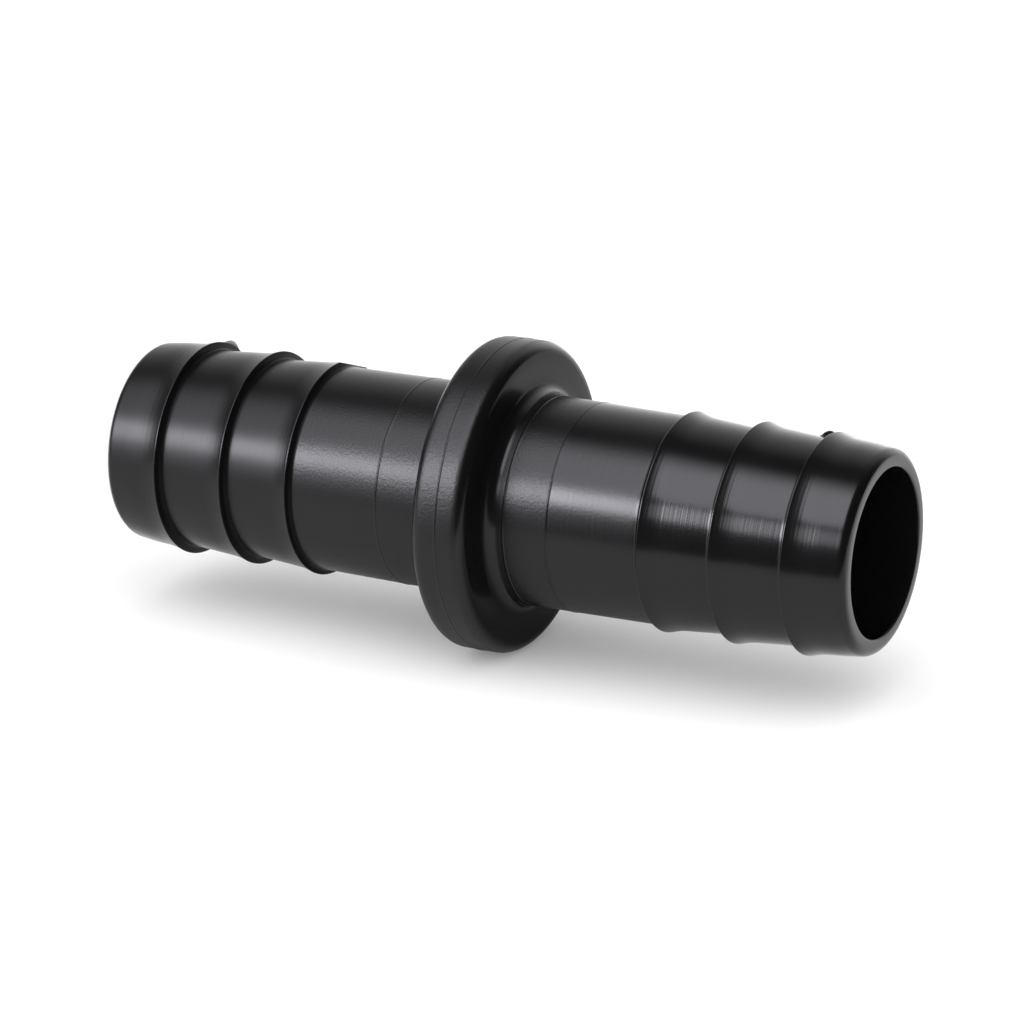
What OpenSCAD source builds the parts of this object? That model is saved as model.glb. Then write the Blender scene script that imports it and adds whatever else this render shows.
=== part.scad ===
/* [Tube] */
// Outside diameter of the plain tube, measured at the middle of the mender
tube_d = 24.8; // [23:0.1:27]
// Draft of the tube towards each end, in degrees
tube_draft = 0.68; // [0.3:0.01:1.2]
// Bore through the whole mender
bore_d = 19.7; // [16:0.1:21]
// Length of plain tube between the witness ring and the first barb
plain_len = 10.8; // [6:0.1:16]

/* [Barbs] */
// Number of barbs on each spigot
barb_count = 3; // [1:1:4]
// Height of the crests over the tube's diameter at the middle of the mender
barb_rise = 0.42; // [0.2:0.02:0.9]
// Length of the hollow that leads up to the steep back of a barb
foot_len = 0.6; // [0.3:0.05:0.75]
// Radius of that hollow
foot_radius = 0.9; // [0.8:0.05:1.5]
// Run of the steep back, from the hollow to the crest
back_run = 0.3; // [0.1:0.05:0.8]
// Width of the narrow land on a crest
crest_land = 0.12; // [0.05:0.01:0.4]
// Length of the hollow lip that falls away from a crest towards the mouth
lip_len = 2.4; // [0.5:0.1:4]
// Height of that lip over the flare that it runs into
lip_h = 0.33; // [0.1:0.01:0.45]
// Length from a crest to the next barb, along the lip and the straight flare
flare_len = 7.8; // [4.5:0.1:10]
// Slope of the straight flare, in degrees
flare_slope = 4.4; // [2:0.1:6]

/* [Mouths] */
// Length from the last crest to the mouth
nose_len = 7.3; // [6:0.1:10]
// Rounding of the outside edge at each mouth
mouth_round = 1.1; // [0.3:0.05:1.3]
// Rounding of the inside edge at each mouth
bore_round = 0.2; // [0.05:0.05:0.4]

/* [Collar] */
// Diameter of the collar
collar_d = 36.8; // [33:0.1:42]
// Thickness of the collar
collar_t = 6.8; // [4:0.1:9]
// Rounding of the collar's two edges
collar_round = 1.5; // [0.3:0.05:1.9]
// Radius of the hollow where the collar meets the tube
root_radius = 1.5; // [0.5:0.05:2]

/* [Mould marks] */
// Width of the raised hairline where two parts of the mould met
line_w = 0.24; // [0.1:0.02:0.4]
// Height of such a hairline
line_h = 0.05; // [0.02:0.01:0.1]
// Length of tube between the collar's root and the hairline beside it
root_land = 0.7; // [0.4:0.05:2]
// Length of grained tube between that hairline and the witness ring
grain_len = 5.4; // [2:0.1:8]
// Depth of the flat that was trimmed on one barb where the mould split
split_flat = 0.45; // [0.1:0.05:0.7]
// Length of the flash tab behind the last crest
flash_len = 1.5; // [0.5:0.05:2]
// Width of the flash tab around the crest
flash_w = 0.5; // [0.2:0.05:1]
// Height of the flash tab above the crest
flash_h = 0.2; // [0.1:0.01:0.4]
// Turn of the flash tab away from the split line, in degrees
flash_turn = 4; // [0:2:14]

/* [Hidden] */
$fn = 180;
body_colour = [0.11, 0.11, 0.12];
tube_r = tube_d / 2;
bore_r = bore_d / 2;
barb_r = tube_r + barb_rise;
collar_r = collar_d / 2;
// Places along the axis, counted from the middle of the collar
collar_face = collar_t / 2;
root_end = collar_face + root_radius;
root_line = root_end + root_land;
witness_line = root_line + grain_len;
barb_back = foot_len + back_run + crest_land;
first_crest = witness_line + plain_len + barb_back;
barb_pitch = flare_len + barb_back;
last_crest = first_crest + (barb_count - 1) * barb_pitch;
spigot_len = last_crest + nose_len;
// The mouth's outside rounding stays within its wall and the last flare
mouth_r = flare_at(nose_len);
mouth_edge = min(mouth_round, nose_len - lip_len, (mouth_r - bore_r - bore_round) * 0.8);
// Steps in the quarter rounds, the lips and the short hollows
round_steps = 8;
lip_steps = 6;
foot_steps = 4;

// Radius of the drafted tube at a distance z from the middle
function tube_at(z) = tube_r - z * tan(tube_draft);

// Radius of the straight flare at a distance x beyond its crest
function flare_at(x) = barb_r - lip_h - x * tan(flare_slope);

// Points of an arc about [r, z], from angle a to angle b
function arc(r, z, radius, a, b, steps) = [
    for (i = [0:steps])
        let (t = a + (b - a) * i / steps)
        [r + radius * cos(t), z + radius * sin(t)]
];

// Rise of a hollow that leaves the tube tangentially, at a distance x from where it starts
function hollow(radius, x) = radius - sqrt(radius ^ 2 - x ^ 2);

// A raised hairline around the tube at a distance z from the middle
function hairline(z) = [
    [tube_at(z - line_w / 2), z - line_w / 2],
    [tube_at(z) + line_h, z],
    [tube_at(z + line_w / 2), z + line_w / 2]
];

// One barb from a root of radius r: hollow foot, steep back, land at the crest and hollow lip
function barb(crest, r) =
    let (
        back = crest - crest_land,
        foot = crest - barb_back,
        lip_radius = (lip_len ^ 2 + lip_h ^ 2) / (2 * lip_h)
    )
    concat(
        [for (i = [0:foot_steps])
            let (x = foot_len * i / foot_steps)
            [r + hollow(foot_radius, x), foot + x]],
        [[barb_r, back]],
        [for (i = [0:lip_steps])
            let (x = lip_len * i / lip_steps)
            [flare_at(x) + hollow(lip_radius, lip_len - x), crest + x]]
    );

// Outside of one half from the middle of the collar's rim to the mouth, then its bore edge
half_outline = concat(
    [[collar_r + line_h, 0], [collar_r, line_w / 2]],
    arc(collar_r - collar_round, collar_face - collar_round, collar_round, 0, 90, round_steps),
    arc(tube_at(root_end) + root_radius, root_end, root_radius, 270, 180, round_steps),
    hairline(root_line),
    hairline(witness_line),
    barb(first_crest, tube_at(first_crest - barb_back)),
    [for (i = [1:1:barb_count - 1]) each barb(first_crest + i * barb_pitch, flare_at(flare_len))],
    arc(mouth_r - mouth_edge, spigot_len - mouth_edge, mouth_edge, 0, 90, round_steps),
    arc(bore_r + bore_round, spigot_len - bore_round, bore_round, 90, 180, round_steps)
);

// The other half is the same outline turned over about the middle, in reverse order
other_half = [
    for (i = [len(half_outline) - 1:-1:1])
        [half_outline[i][0], -half_outline[i][1]]
];

// Wall of the mender, turned about its axis and stood on its lower mouth
module wall() {
    translate([0, 0, spigot_len])
        rotate_extrude()
            polygon(concat(other_half, half_outline));
}

// What was trimmed from the lower spigot's barb beside the collar, along the mould's split
module trimmed_flat() {
    translate([-barb_r - split_flat, 0, spigot_len - first_crest - lip_len / 2])
        cube([split_flat * 4, barb_r * 2, barb_back * 2 + lip_len], center = true);
}

// Sliver of flash that the split mould left behind a last crest
module flash_tab(side) {
    inner = flare_at(flare_len) - flash_w / 2;
    outer = barb_r + flash_h;
    rotate(-flash_turn)
        translate([-(outer + inner) / 2, 0, spigot_len + side * (last_crest - flash_len / 2)])
            cube([outer - inner, flash_w, flash_len], center = true);
}

module mender_body() {
    color(body_colour) {
        difference() {
            wall();
            trimmed_flat();
        }
        for (side = [-1, 1])
            flash_tab(side);
    }
}

mender_body();
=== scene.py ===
"""Looks of the black moulded hose mender.

The mender stands on its lower mouth. The camera is turned on its side, so that the picture shows
the mender lying, as the photograph does. Lengths are in millimetres until they reach Blender.
"""
import math

import bpy
from mathutils import Matrix, Vector


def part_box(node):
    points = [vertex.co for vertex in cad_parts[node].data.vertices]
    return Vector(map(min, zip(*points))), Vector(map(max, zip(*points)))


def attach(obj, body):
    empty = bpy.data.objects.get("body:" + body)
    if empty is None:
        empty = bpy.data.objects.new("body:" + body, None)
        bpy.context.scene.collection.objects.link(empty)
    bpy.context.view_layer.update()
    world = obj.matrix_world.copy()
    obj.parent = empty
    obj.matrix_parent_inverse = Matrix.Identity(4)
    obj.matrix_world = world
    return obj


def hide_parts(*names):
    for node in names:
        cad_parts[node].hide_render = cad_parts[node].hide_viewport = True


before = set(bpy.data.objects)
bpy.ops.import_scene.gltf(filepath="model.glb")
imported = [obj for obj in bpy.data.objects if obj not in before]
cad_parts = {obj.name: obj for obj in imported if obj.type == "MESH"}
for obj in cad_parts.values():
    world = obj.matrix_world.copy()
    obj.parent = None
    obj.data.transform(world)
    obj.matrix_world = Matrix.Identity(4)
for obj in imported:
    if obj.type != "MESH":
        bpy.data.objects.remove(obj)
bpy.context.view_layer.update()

MM = 0.001
NODE = "mender_body"
LOW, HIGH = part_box(NODE)

# The tube and its bore
SPIGOT_LEN = (HIGH[2] - LOW[2]) / 2 / MM
TUBE_R = 12.4
DRAFT = math.radians(0.68)
BORE_R = 9.85
BORE_ROUND = 0.2
MOUTH_ROUND = 1.1

# The raised hairlines where parts of the mould met. The flat top and the close rings beside a
# hairline are given as shares of its half width.
LINE_W = 0.24
LINE_H = 0.05
LINE_TOP = 1 / 3
LINE_BESIDE = 1.7

# The collar, its root, and the lengths of tube up to the next two hairlines
COLLAR_R = HIGH[1] / MM - LINE_H
COLLAR_FACE = 3.4
COLLAR_ROUND = 1.5
ROOT_R = 1.5
ROOT_LAND = 0.7
GRAIN_LEN = 5.4

# The barbs. BARB_BACK is the length from the end of the tube or flare up to the crest.
BARB_COUNT = 3
BARB_R = TUBE_R + 0.42
PLAIN_LEN = 10.8
FOOT_R = 0.5
BACK_LEAN = math.radians(84)
BARB_BACK = 1.02
CREST_LAND = 0.16
LIP_LEN = 2.4
LIP_H = 0.33
FLARE_LEN = 7.8
FLARE_SLOPE = math.radians(4.4)

# Places along the axis, counted from the middle of the collar
ROOT_END = COLLAR_FACE + ROOT_R
ROOT_LINE = ROOT_END + ROOT_LAND
WITNESS = ROOT_LINE + GRAIN_LEN
FIRST_CREST = WITNESS + PLAIN_LEN + BARB_BACK
BARB_PITCH = FLARE_LEN + BARB_BACK
LAST_CREST = FIRST_CREST + (BARB_COUNT - 1) * BARB_PITCH

# The flat that was trimmed at -X on the lower spigot's barb beside the collar, and the stretch around
# that barb's crest in which it lies, counted towards the mouth
FLAT_X = BARB_R - 0.45
FLAT_ALONG = (-1.53, 3.12)

# The sliver of flash behind the upper spigot's last crest: its turn from +X, half its width, and the
# two ends of its length, from the crest towards the collar
FLASH_TURN = math.radians(178)
FLASH_HALF_W = 0.75
FLASH_ALONG = (0.8, 2.6)

# Power of the sine wave that shapes the sliver. Below 1 it makes the sides steeper.
FLASH_POWER = 0.45

# The fin of flash on the lower spigot's last crest: where it starts, peaks and ends as turns from +X
# and along the axis, from the crest towards the collar, and its rise over the crest
FIN_TURNS = (math.radians(179.5), math.radians(165.5), math.radians(162.5))
FIN_ALONG = (0.16, -0.34, -1.05)
FIN_RISE = 0.7

# The painted shade in narrow corners, given as lowered gloss: how far before a lower barb's back it
# starts, the distance along the axis over which it fades out from the collar's faces, and the height of
# the fin from which there is none
PAINTED_SHADE_REACH = 0.625
FACE_FADE = 0.4
FIN_CLEAR = 0.4

# How strongly the spark grain shows, from 0 to 1: in the bore, on the collar's rim, on its faces and
# roots, on the tube beside them, and on the plain tube of the upper and the lower spigot
GRAIN_BORE = 0.3
GRAIN_RIM = 1.0
GRAIN_FACE = 0.1
GRAIN_TUBE = 0.75
GRAIN_UPPER = 0.35
GRAIN_LOWER = 0.6

# How finely the wall is divided round its axis and along the parts of its outline
SEGMENTS = 336
ARC_STEPS = 9
BORE_EDGE_STEPS = 5
RIM_STEPS = 3
FACE_STEPS = 3
GRAIN_STEPS = 4
PLAIN_STEPS = 6
FOOT_STEPS = 6
LIP_STEPS = 7
FLARE_STEPS = 4
NOSE_STEPS = 3
FLASH_STEPS = 8

# Extra rings before a barb's foot and down the bore from its mouth, which keep the shading of the
# large faces beside them even
FOOT_RINGS = (0.3, 0.14)
BORE_RINGS = (0.6, 3.0)

# The flare has close rings under the sliver of flash, from this far before its end
FLASH_REACH = 1.75

# A sharp corner of the outline is eased over this distance, by shares of it below and past the corner
EASE = 0.045
EASED_CORNER = ((1, 0), (0.3, 0.3), (0, 1))

# The plastic's colour, its gloss on the open wall and where painted shade lowers it, and its roughness
PLASTIC_COLOUR = (0.0028, 0.0028, 0.0031, 1)
PLASTIC_IOR = 1.5
GLOSS_OPEN = 0.5
GLOSS_PAINTED_SHADE = 0.08
ROUGH_SMOOTH = 0.17
ROUGH_GRAIN = 0.34
ROUGH_LOWER = 0.28

# Noise on the plastic, with its scale per metre: the pits of the spark grain, the rings that turning
# left in the mould, and slow patches. The first two have a depth, and the last adds to the roughness.
PITS = {"scale": 3200, "detail": 2.5, "roughness": 0.6}
PIT_DEPTH = 0.03
RINGS = {"scale": 2600, "detail": 3, "roughness": 0.5}
RING_DEPTH = 0.012
PATCHES = {"scale": 140, "detail": 3, "roughness": 0.5}
PATCH_ROUGH = 0.05

# The photograph's camera, from the middle of the collar
CAM_DISTANCE = 569.0
CAM_ELEVATION = math.radians(25.64)
CAM_AIM = Vector((1.96, 0.345, 0.743))
CAM_ROLL = math.radians(98.97)
CAM_LENS = 171.34
CAM_SENSOR = 36.0
CAM_NEAR = 10.0
CAM_FAR = 20000.0

# The ground of the photograph is a backdrop that touches the collar, turned this far from -X. It
# reaches this far towards the camera, away from it, and both up and down.
GROUND_TURN = math.radians(20.1)
GROUND_FRONT = 85.0
GROUND_BACK = 900.0
GROUND_SIDE = 900.0

# The ground's level as it is seen, and its levels in reflections: painted shade beside the collar, where
# its shadow falls, painted light beyond the two mouths, and the level above the mender
GROUND_WHITE = 0.8
GROUND_PAINTED_SHADE = 0.5
GROUND_PAINTED_LIGHT = 1.45
GROUND_ABOVE = 0.8

# Where the levels in reflections change: away from the camera, along the axis from the collar's
# middle, and up from the floor
BEYOND_AWAY = (0, 11)
BEYOND_OUT = (14, 34)
ABOVE_FLOOR = (78, 105)

# The floor ends this far from the axis on the backdrop's side, goes on behind the backdrop, and
# reaches this far every other way
FLOOR_EDGE = 12.6
FLOOR_SIZE = 3000.0

# The floor's white, and the share by which it is clear
FLOOR_WHITE = 0.95
FLOOR_CLEAR = 0.75

# Light that the floor and the ground give off for the camera, which lightens their shadows
STAGE_FILL = 0.12

# The lamps, seen from the collar's middle: turn from -Y towards -X and lift over the level in
# degrees, distance, width and height, and radiance. Their levels are (place, level) stops across
# them from the left and up them from below.
LAMP_COLOUR = (1.0, 0.985, 1.07)
SOFTBOX = {
    "turn": 45, "lift": -24, "distance": 500, "width": 520, "height": 560, "radiance": 3.2,
    "across": ((0.0, 0.0), (0.12, 0.25), (0.32, 0.85), (0.42, 1.0), (1.0, 1.0)),
    "up": ((0.0, 0.26), (0.25, 0.36), (0.42, 0.5), (0.55, 0.95), (1.0, 1.18)),
}
STRIP = {
    "turn": 6, "lift": -27, "distance": 480, "width": 130, "height": 620, "radiance": 13.7,
    "across": ((0.0, 1.0), (1.0, 1.0)),
    "up": ((0.0, 0.4), (0.3, 0.55), (0.46, 0.9), (0.58, 1.2), (0.68, 0.5), (0.74, 0.16), (1.0, 0.14)),
}
SKIRT = {
    "turn": -18, "lift": -34, "distance": 490, "width": 230, "height": 330, "radiance": 1.35,
    "across": ((0.0, 1.0), (0.5, 0.9), (1.0, 0.15)),
    "up": ((0.0, 0.8), (0.7, 1.0), (0.85, 0.35), (0.93, 0.0)),
}

# Light behind the mender in reflections, by how far a direction leads away from the camera, and the
# climb of a direction over which it fades out
BEHIND = ((0.0, 0.05), (0.22, 0.34), (0.4, 0.53), (0.56, 0.68), (0.7, 0.95), (0.8, 1.26), (0.9, 1.5))
BEHIND_FADE = (0.15, 0.7)

# The dome that lights the stage: its level, its gain upwards and away from the camera, and its least
DOME_LEVEL = 1.2
DOME_UP = 0.3
DOME_AWAY = -1.2
DOME_LEAST = 0.03


def tube_at(z):
    """Radius of the drafted tube at a distance z from the middle."""
    return TUBE_R - z * math.tan(DRAFT)


def flare_at(x):
    """Radius of the straight flare at a distance x beyond its crest."""
    return BARB_R - LIP_H - x * math.tan(FLARE_SLOPE)


def arc(r, z, radius, start, end, steps=ARC_STEPS):
    """Points of an arc about (r, z), from angle start to angle end in degrees."""
    turns = [math.radians(start + (end - start) * i / steps) for i in range(steps + 1)]
    return [(r + radius * math.cos(t), z + radius * math.sin(t)) for t in turns]


def hollow(radius, x):
    """Rise of a hollow that starts level, at a distance x from where it starts."""
    return radius - math.sqrt(radius ** 2 - x ** 2)


def straight(start, end, steps):
    """Points along a straight part of the outline, without its two ends."""
    a, b = Vector(start), Vector(end)
    return [tuple(a.lerp(b, i / steps)) for i in range(1, steps)]


def hairline(z, radius=None):
    """A raised hairline, with close rings beside it that keep the shading of the tube apart."""
    half = LINE_W / 2
    top, beside = half * LINE_TOP, half * LINE_BESIDE
    lifts = ((-beside, 0), (-half, 0), (-top, LINE_H), (top, LINE_H), (half, 0), (beside, 0))
    return [((radius or tube_at(z + x)) + lift, z + x) for x, lift in lifts]


def barb(crest, root, slope):
    """Small hollow on a surface of this slope, steep back, land and hollow lip."""
    back = crest - CREST_LAND
    foot = back - (BARB_R - root) / math.tan(BACK_LEAN) - FOOT_R
    root -= (foot - crest + BARB_BACK) * math.tan(slope)
    lip_r = (LIP_LEN ** 2 + LIP_H ** 2) / (2 * LIP_H)
    points = [(root + x * math.tan(slope), foot - x) for x in FOOT_RINGS]
    for i in range(FOOT_STEPS + 1):
        turn = BACK_LEAN * i / FOOT_STEPS
        points.append((root + FOOT_R * (1 - math.cos(turn)), foot + FOOT_R * math.sin(turn)))
    for below, past in EASED_CORNER:
        points.append((BARB_R - EASE * below, back + EASE * past))
    points.append((BARB_R, crest - EASE / 2))
    for i in range(LIP_STEPS + 1):
        x = LIP_LEN * i / LIP_STEPS
        eased = EASE / 4 if i == 0 else 0
        points.append((flare_at(x) + hollow(lip_r, LIP_LEN - x) - eased, crest + x))
    return points


def flare(number, crest):
    """Points along the straight flare beyond a barb, without its ends, and closer under the flash."""
    def place(x):
        return (flare_at(x), crest + x)

    if number == BARB_COUNT - 1:
        return straight(place(LIP_LEN), place(FLARE_LEN - LIP_LEN), NOSE_STEPS)
    if number < BARB_COUNT - 2:
        return straight(place(LIP_LEN), place(FLARE_LEN), FLARE_STEPS)
    flash_start = place(FLARE_LEN - FLASH_REACH)
    points = straight(place(LIP_LEN), flash_start, FLARE_STEPS)
    return points + [flash_start] + straight(flash_start, place(FLARE_LEN), FLASH_STEPS)


def half_outline():
    """Outside of one half from the middle of the rim to the mouth, then the edge of the bore."""
    rim_end = COLLAR_FACE - COLLAR_ROUND
    plain_end = WITNESS + PLAIN_LEN
    points = [p for p in hairline(0, COLLAR_R) if p[1] > 0]
    points += straight((COLLAR_R, 0), (COLLAR_R, rim_end), RIM_STEPS)[1:]
    points += arc(COLLAR_R - COLLAR_ROUND, rim_end, COLLAR_ROUND, 0, 90)
    points += straight(points[-1], (tube_at(ROOT_END) + ROOT_R, COLLAR_FACE), FACE_STEPS)
    points += arc(tube_at(ROOT_END) + ROOT_R, ROOT_END, ROOT_R, 270, 180)
    points += hairline(ROOT_LINE)
    points += straight(points[-1], (tube_at(WITNESS), WITNESS), GRAIN_STEPS)
    points += hairline(WITNESS)
    points += straight(points[-1], (tube_at(plain_end), plain_end), PLAIN_STEPS)
    for i in range(BARB_COUNT):
        crest = FIRST_CREST + i * BARB_PITCH
        if i == 0:
            points += barb(crest, tube_at(crest - BARB_BACK), DRAFT)
        else:
            points += barb(crest, flare_at(FLARE_LEN), FLARE_SLOPE)
        points += flare(i, crest)
    mouth_r = flare_at(SPIGOT_LEN - LAST_CREST)
    points += arc(mouth_r - MOUTH_ROUND, SPIGOT_LEN - MOUTH_ROUND, MOUTH_ROUND, 0, 90)
    points += arc(BORE_R + BORE_ROUND, SPIGOT_LEN - BORE_ROUND, BORE_ROUND, 90, 180, BORE_EDGE_STEPS)
    points += [(BORE_R, SPIGOT_LEN - depth) for depth in BORE_RINGS]
    return points


def grain_at(z, r):
    """How strongly the mould's spark grain shows here."""
    if r < BORE_R + BORE_ROUND:
        return GRAIN_BORE
    if abs(z) < COLLAR_FACE - COLLAR_ROUND / 2:
        return GRAIN_RIM
    if abs(z) < ROOT_END:
        return GRAIN_FACE
    if abs(z) < WITNESS:
        return GRAIN_TUBE
    if abs(z) < WITNESS + PLAIN_LEN:
        return GRAIN_UPPER if z > 0 else GRAIN_LOWER
    return 0.0


def painted_shade_at(z):
    """Painted shade, as lowered gloss: 1 in the foot and on the back of a lower barb and on the collar's
    faces, 0 on the open wall.
    """
    for i in range(BARB_COUNT):
        back = FIRST_CREST + i * BARB_PITCH - CREST_LAND
        if back - PAINTED_SHADE_REACH < -z < back + EASE / 2:
            return 1.0
    return max(0.0, 1 - abs(abs(z) - COLLAR_FACE) / FACE_FADE)


def ridge(x, start, end):
    """A steep rise and fall between two places, 1 in the middle."""
    t = (x - start) / (end - start)
    return math.sin(math.pi * t) ** FLASH_POWER if 0 < t < 1 else 0.0


def peaked(x, start, peak, end):
    """A rise from start to peak and a fall to the end, in either direction, 1 at the peak."""
    side = start if (x - peak) * (start - peak) > 0 else end
    t = 1 - abs(x - peak) / abs(side - peak)
    return math.sin(math.pi / 2 * t) if t > 0 else 0.0


def flash_lift(angle, z, r):
    """Height that the flash adds to the wall at this place."""
    along = LAST_CREST - abs(z)
    if z < 0:
        return max(0.0, BARB_R + FIN_RISE - r) * peaked(angle, *FIN_TURNS) * peaked(along, *FIN_ALONG)
    across = (angle - FLASH_TURN) * r
    return max(0.0, BARB_R - r) * ridge(across, -FLASH_HALF_W, FLASH_HALF_W) * ridge(along, *FLASH_ALONG)


def trimmed(x, z):
    """The place x, cut back to the flat on the lower spigot's barb beside the collar."""
    start, end = FLAT_ALONG
    return max(x, -FLAT_X) if start < -z - FIRST_CREST < end else x


def make_body():
    """The whole moulding, turned about its axis."""
    half = half_outline()
    outline = [(r, -z) for r, z in reversed(half)] + half
    verts, grain, painted_shade = [], [], []
    for r, z in outline:
        ring_grain, ring_painted_shade = grain_at(z, r), painted_shade_at(z)
        for s in range(SEGMENTS):
            angle = 2 * math.pi * s / SEGMENTS
            lift = flash_lift(angle, z, r)
            radius = r + lift
            x, y = trimmed(radius * math.cos(angle), z), radius * math.sin(angle)
            verts.append((x * MM, y * MM, (z + SPIGOT_LEN) * MM))
            grain.append(ring_grain)
            painted_shade.append(ring_painted_shade * max(0.0, 1 - lift / FIN_CLEAR))
    faces = []
    for i in range(len(outline)):
        j = (i + 1) % len(outline)
        for s in range(SEGMENTS):
            t = (s + 1) % SEGMENTS
            faces.append((i * SEGMENTS + s, i * SEGMENTS + t, j * SEGMENTS + t, j * SEGMENTS + s))
    mesh = bpy.data.meshes.new("moulded_mender")
    mesh.from_pydata(verts, [], faces)
    # The mesh carries how strongly the grain shows, and where shade is painted into the corners
    for name, values in (("grain", grain), ("painted_shade", painted_shade)):
        layer = mesh.attributes.new(name, "FLOAT", "POINT")
        layer.data.foreach_set("value", values)
    mesh.update()
    mesh.shade_smooth()
    mesh.materials.append(plastic_material())
    body = bpy.data.objects.new("moulded_mender", mesh)
    bpy.context.scene.collection.objects.link(body)
    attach(body, "root")
    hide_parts(NODE)


def node(tree, kind, **settings):
    """A new node with these settings."""
    made = tree.nodes.new(kind)
    for name, value in settings.items():
        setattr(made, name, value)
    return made


def feed(tree, target, value):
    """Link another node's output to an input, or set the input to a number."""
    if isinstance(value, bpy.types.NodeSocket):
        tree.links.new(value, target)
    else:
        target.default_value = value


def maths(tree, operation, *values):
    """Result of a Math node on numbers or other nodes' outputs."""
    made = node(tree, "ShaderNodeMath", operation=operation)
    for target, value in zip(made.inputs, values):
        feed(tree, target, value)
    return made.outputs[0]


def mixed(tree, share, first, second):
    """The first level where the share is 0, the second where it is 1."""
    made = node(tree, "ShaderNodeMix", data_type="FLOAT")
    for target, value in zip((made.inputs[0], made.inputs[2], made.inputs[3]), (share, first, second)):
        feed(tree, target, value)
    return made.outputs[0]


def spread(tree, value, first, last, start=0.0, end=1.0, kind="LINEAR"):
    """The first level where the value is start or less, the last where it is end or more."""
    made = node(tree, "ShaderNodeMapRange", interpolation_type=kind)
    feed(tree, made.inputs["Value"], value)
    feed(tree, made.inputs["From Min"], start)
    feed(tree, made.inputs["From Max"], end)
    feed(tree, made.inputs["To Min"], first)
    feed(tree, made.inputs["To Max"], last)
    return made.outputs[0]


def smooth_step(tree, value, start, end):
    """0 up to start and 1 from end on, both in millimetres, with a smooth change between them."""
    return spread(tree, value, 0.0, 1.0, start * MM, end * MM, "SMOOTHSTEP")


def ramp(tree, value, stops):
    """A level read off straight lines between (place, level) stops, as a grey colour."""
    made = node(tree, "ShaderNodeValToRGB")
    marks = made.color_ramp.elements
    while len(marks) < len(stops):
        marks.new(1.0)
    for mark, (place, level) in zip(marks, stops):
        mark.position = place
        mark.color = (level, level, level, 1)
    tree.links.new(value, made.inputs[0])
    return made.outputs[0]


def axes(tree, place):
    """The X, Y and Z of a place, as outputs by name."""
    split = node(tree, "ShaderNodeSeparateXYZ")
    tree.links.new(place, split.inputs[0])
    return split.outputs


def attribute(tree, name):
    """A value of the mesh by its name."""
    return node(tree, "ShaderNodeAttribute", attribute_name=name).outputs["Fac"]


def noise(tree, place, scale, detail, roughness, dimensions="3D"):
    """Noise at a place, or at a distance along one line for 1D."""
    made = node(tree, "ShaderNodeTexNoise", noise_dimensions=dimensions)
    made.inputs["Scale"].default_value = scale
    made.inputs["Detail"].default_value = detail
    made.inputs["Roughness"].default_value = roughness
    tree.links.new(place, made.inputs["W" if dimensions == "1D" else "Vector"])
    return made.outputs["Fac"]


def bump(tree, height, strength, depth, normal=None):
    """The normal that a height gives to the surface, over another normal if there is one."""
    made = node(tree, "ShaderNodeBump")
    made.inputs["Distance"].default_value = depth * MM
    tree.links.new(strength, made.inputs["Strength"])
    tree.links.new(height, made.inputs["Height"])
    if normal:
        tree.links.new(normal, made.inputs["Normal"])
    return made.outputs["Normal"]


def plastic_material():
    """Black plastic: spark grain where the mesh says so, turning marks round the rest, and painted shade
    in narrow corners.
    """
    mat = bpy.data.materials.new("black_moulded_plastic")
    mat.use_nodes = True
    tree = mat.node_tree
    shader = tree.nodes["Principled BSDF"]
    shader.inputs["Base Color"].default_value = PLASTIC_COLOUR
    shader.inputs["IOR"].default_value = PLASTIC_IOR

    place = node(tree, "ShaderNodeTexCoord").outputs["Object"]
    height = axes(tree, place)["Z"]
    grain = attribute(tree, "grain")

    # Rings, read along the axis only, show where the spark grain does not
    rings = noise(tree, height, dimensions="1D", **RINGS)
    ringed = bump(tree, rings, maths(tree, "SUBTRACT", 1, grain), RING_DEPTH)
    pitted = bump(tree, noise(tree, place, **PITS), grain, PIT_DEPTH, ringed)
    tree.links.new(pitted, shader.inputs["Normal"])

    # More roughness on the grain and on the lower spigot, with slow patches over both
    on_grain = spread(tree, grain, ROUGH_SMOOTH, ROUGH_GRAIN)
    root_below, root_above = (SPIGOT_LEN - ROOT_END) * MM, (SPIGOT_LEN + ROOT_END) * MM
    on_lower = spread(tree, height, ROUGH_LOWER, ROUGH_SMOOTH, root_below, root_above)
    even = maths(tree, "MAXIMUM", on_grain, on_lower)
    rough = maths(tree, "MULTIPLY_ADD", noise(tree, place, **PATCHES), PATCH_ROUGH, even)
    tree.links.new(rough, shader.inputs["Roughness"])

    # Painted shade: the gloss is lowered in the narrow corners behind the lower barbs and on the
    # collar's faces, where little light comes back out
    gloss = spread(tree, attribute(tree, "painted_shade"), GLOSS_OPEN, GLOSS_PAINTED_SHADE)
    tree.links.new(gloss, shader.inputs["Specular IOR Level"])
    return mat


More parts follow.
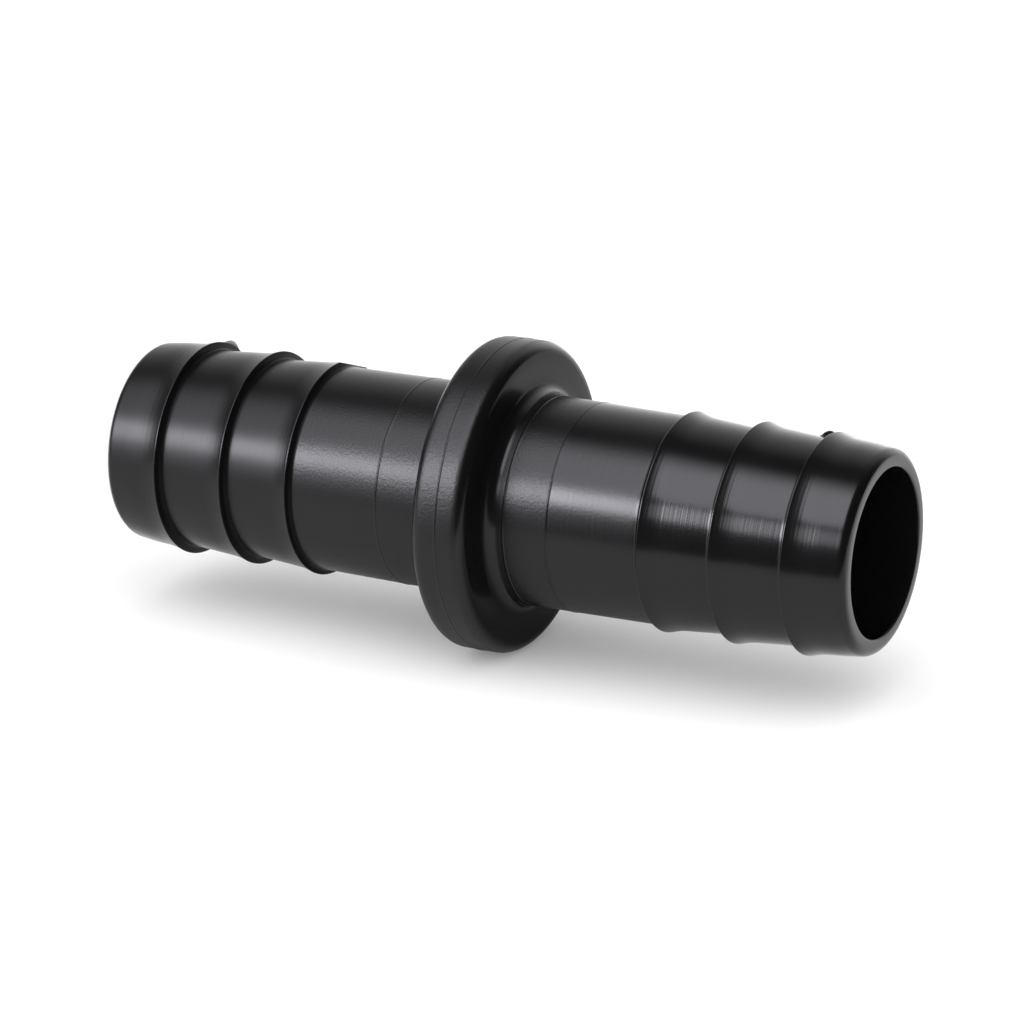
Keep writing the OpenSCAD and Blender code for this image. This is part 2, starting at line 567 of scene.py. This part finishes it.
def stage_material(name):
    """White with some fill light for the camera, clear for shadow rays and by a share for the others.

    Gives the material, and the inputs for its white and for that share.
    """
    mat = bpy.data.materials.new(name)
    mat.use_nodes = True
    tree = mat.node_tree
    tree.nodes.clear()
    rays = node(tree, "ShaderNodeLightPath").outputs
    paint = node(tree, "ShaderNodeBsdfDiffuse")
    fill = node(tree, "ShaderNodeEmission")
    tree.links.new(maths(tree, "MULTIPLY", rays["Is Camera Ray"], STAGE_FILL), fill.inputs["Strength"])
    both = node(tree, "ShaderNodeAddShader")
    tree.links.new(paint.outputs[0], both.inputs[0])
    tree.links.new(fill.outputs[0], both.inputs[1])
    clear = node(tree, "ShaderNodeMath", operation="MAXIMUM")
    tree.links.new(rays["Is Shadow Ray"], clear.inputs[0])
    see = node(tree, "ShaderNodeMixShader")
    tree.links.new(clear.outputs[0], see.inputs[0])
    tree.links.new(both.outputs[0], see.inputs[1])
    tree.links.new(node(tree, "ShaderNodeBsdfTransparent").outputs[0], see.inputs[2])
    out = node(tree, "ShaderNodeOutputMaterial")
    tree.links.new(see.outputs[0], out.inputs[0])
    return mat, paint.inputs["Color"], clear.inputs[1]


def floor_material():
    """The white floor, which is partly clear."""
    mat, white, clear_share = stage_material("white_floor")
    white.default_value = (FLOOR_WHITE, FLOOR_WHITE, FLOOR_WHITE, 1)
    clear_share.default_value = FLOOR_CLEAR
    return mat


def ground_material():
    """The white ground, shown from its front only.

    In reflections it has painted shade beside the collar, where its shadow falls, and painted light
    beyond the two mouths and behind the mender, and less of that light again above the mender.
    """
    mat, white, clear_share = stage_material("white_ground")
    tree = mat.node_tree
    tree.links.new(node(tree, "ShaderNodeNewGeometry").outputs["Backfacing"], clear_share)

    place = axes(tree, node(tree, "ShaderNodeTexCoord").outputs["Object"])
    # Painted shade beside the collar and painted light beyond the mouths and behind the mender, in
    # reflections only
    away = smooth_step(tree, place["Y"], *BEYOND_AWAY)
    from_middle = maths(tree, "ABSOLUTE", maths(tree, "SUBTRACT", place["Z"], SPIGOT_LEN * MM))
    out = smooth_step(tree, from_middle, *BEYOND_OUT)
    above = smooth_step(tree, place["Z"], *ABOVE_FLOOR)
    beyond = spread(tree, above, GROUND_PAINTED_LIGHT, GROUND_ABOVE)
    mirrored = spread(tree, maths(tree, "MULTIPLY", away, out), GROUND_PAINTED_SHADE, beyond)
    rays = node(tree, "ShaderNodeLightPath").outputs
    tree.links.new(mixed(tree, rays["Is Glossy Ray"], GROUND_WHITE, mirrored), white)
    return mat


def make_sheet(name, faces, mat):
    """A sheet of stage from one or more flat faces, each a list of corners in millimetres."""
    corners, sides = [], []
    for face in faces:
        sides.append(tuple(range(len(corners), len(corners) + len(face))))
        corners += [corner * MM for corner in face]
    mesh = bpy.data.meshes.new(name)
    mesh.from_pydata(corners, [], sides)
    mesh.materials.append(mat)
    sheet = bpy.data.objects.new(name, mesh)
    bpy.context.scene.collection.objects.link(sheet)
    sheet.visible_diffuse = False
    return sheet


def ground_axes():
    """The ground's normal, and the level direction in it that leads away from the camera."""
    normal = Vector((-math.cos(GROUND_TURN), -math.sin(GROUND_TURN), 0))
    away = Vector((-math.sin(GROUND_TURN), math.cos(GROUND_TURN), 0))
    return normal, away


def make_floor():
    """Floor under the mender, open along the foot of the backdrop, whose shadow runs on below it."""
    normal, away = ground_axes()
    faces = []
    for near, far in ((-FLOOR_EDGE, FLOOR_SIZE), (-FLOOR_SIZE, -COLLAR_R - LINE_H)):
        corners = ((near, -FLOOR_SIZE), (near, FLOOR_SIZE), (far, FLOOR_SIZE), (far, -FLOOR_SIZE))
        faces.append([normal * out + away * along for out, along in corners])
    floor = make_sheet("floor", faces, floor_material())
    floor.visible_glossy = False


def make_ground():
    """Upright backdrop that touches the collar, as the ground does in the photograph.

    It goes on below the floor. Its corners run in the order that turns its front to the mender.
    """
    normal, away = ground_axes()
    foot = -normal * (COLLAR_R + LINE_H)
    up = Vector((0, 0, GROUND_SIDE))
    corners = []
    for along, height in ((-GROUND_FRONT, 1), (GROUND_BACK, 1), (GROUND_BACK, -1), (-GROUND_FRONT, -1)):
        corners.append(foot + away * along + up * height)
    make_sheet("ground", [corners], ground_material())


def aim(obj, place, target, roll=0.0):
    """Put a lamp or the camera at a place, turned towards a target."""
    direction = (target - place).normalized()
    turn = direction.to_track_quat("-Z", "Y").to_matrix().to_4x4()
    obj.matrix_world = Matrix.Translation(place) @ turn @ Matrix.Rotation(roll, 4, "Z")


def make_camera():
    """The photograph's camera, turned on its side."""
    data = bpy.data.cameras.new("camera")
    data.sensor_width = CAM_SENSOR
    data.lens = CAM_LENS
    data.clip_start = CAM_NEAR * MM
    data.clip_end = CAM_FAR * MM
    cam = bpy.data.objects.new("camera", data)
    bpy.context.scene.collection.objects.link(cam)
    bpy.context.scene.camera = cam
    middle = Vector((0, 0, SPIGOT_LEN))
    back = Vector((0, -math.cos(CAM_ELEVATION), math.sin(CAM_ELEVATION)))
    aim(cam, (middle + back * CAM_DISTANCE) * MM, (middle + CAM_AIM) * MM, CAM_ROLL)


def make_lamp(name, turn, lift, distance, width, height, radiance, across, up):
    """Area lamp, seen in reflections only, whose light follows the stops across it and up it."""
    data = bpy.data.lights.new(name, "AREA")
    data.shape = "RECTANGLE"
    data.size = width * MM
    data.size_y = height * MM
    data.energy = radiance * math.pi * data.size * data.size_y
    data.color = LAMP_COLOUR
    data.use_nodes = True
    tree = data.node_tree
    place = axes(tree, node(tree, "ShaderNodeNewGeometry").outputs["Parametric"])
    level = maths(tree, "MULTIPLY", ramp(tree, place["X"], across), ramp(tree, place["Y"], up))
    tree.links.new(level, tree.nodes["Emission"].inputs["Strength"])
    lamp = bpy.data.objects.new(name, data)
    bpy.context.scene.collection.objects.link(lamp)
    turn, lift = math.radians(turn), math.radians(lift)
    flat = math.cos(lift)
    way = Vector((-math.sin(turn) * flat, -math.cos(turn) * flat, math.sin(lift)))
    middle = Vector((0, 0, SPIGOT_LEN))
    aim(lamp, (middle + way * distance) * MM, middle * MM)
    lamp.visible_camera = False
    lamp.visible_diffuse = False


def make_world():
    """White for the camera, light behind the mender in reflections, and a dome for the stage."""
    world = bpy.data.worlds.new("studio")
    bpy.context.scene.world = world
    world.cycles.sampling_method = "NONE"
    world.use_nodes = True
    tree = world.node_tree
    way = axes(tree, node(tree, "ShaderNodeTexCoord").outputs["Generated"])
    low_part = spread(tree, way["Z"], 1.0, 0.0, *BEHIND_FADE, "SMOOTHSTEP")
    mirrored = maths(tree, "MULTIPLY", ramp(tree, way["Y"], BEHIND), low_part)
    above = maths(tree, "MULTIPLY_ADD", way["Z"], DOME_UP, DOME_LEVEL)
    dome = maths(tree, "MAXIMUM", maths(tree, "MULTIPLY_ADD", way["Y"], DOME_AWAY, above), DOME_LEAST)
    rays = node(tree, "ShaderNodeLightPath").outputs
    lit = mixed(tree, rays["Is Glossy Ray"], dome, mirrored)
    shade = tree.nodes["Background"]
    shade.inputs["Color"].default_value = (1, 1, 1, 1)
    tree.links.new(mixed(tree, rays["Is Camera Ray"], lit, 1.0), shade.inputs["Strength"])


def main():
    """Build the scene."""
    bpy.context.scene.view_settings.view_transform = "Standard"
    make_camera()
    make_body()
    make_floor()
    make_ground()
    make_lamp("softbox", **SOFTBOX)
    make_lamp("strip", **STRIP)
    make_lamp("skirt", **SKIRT)
    make_world()


main()
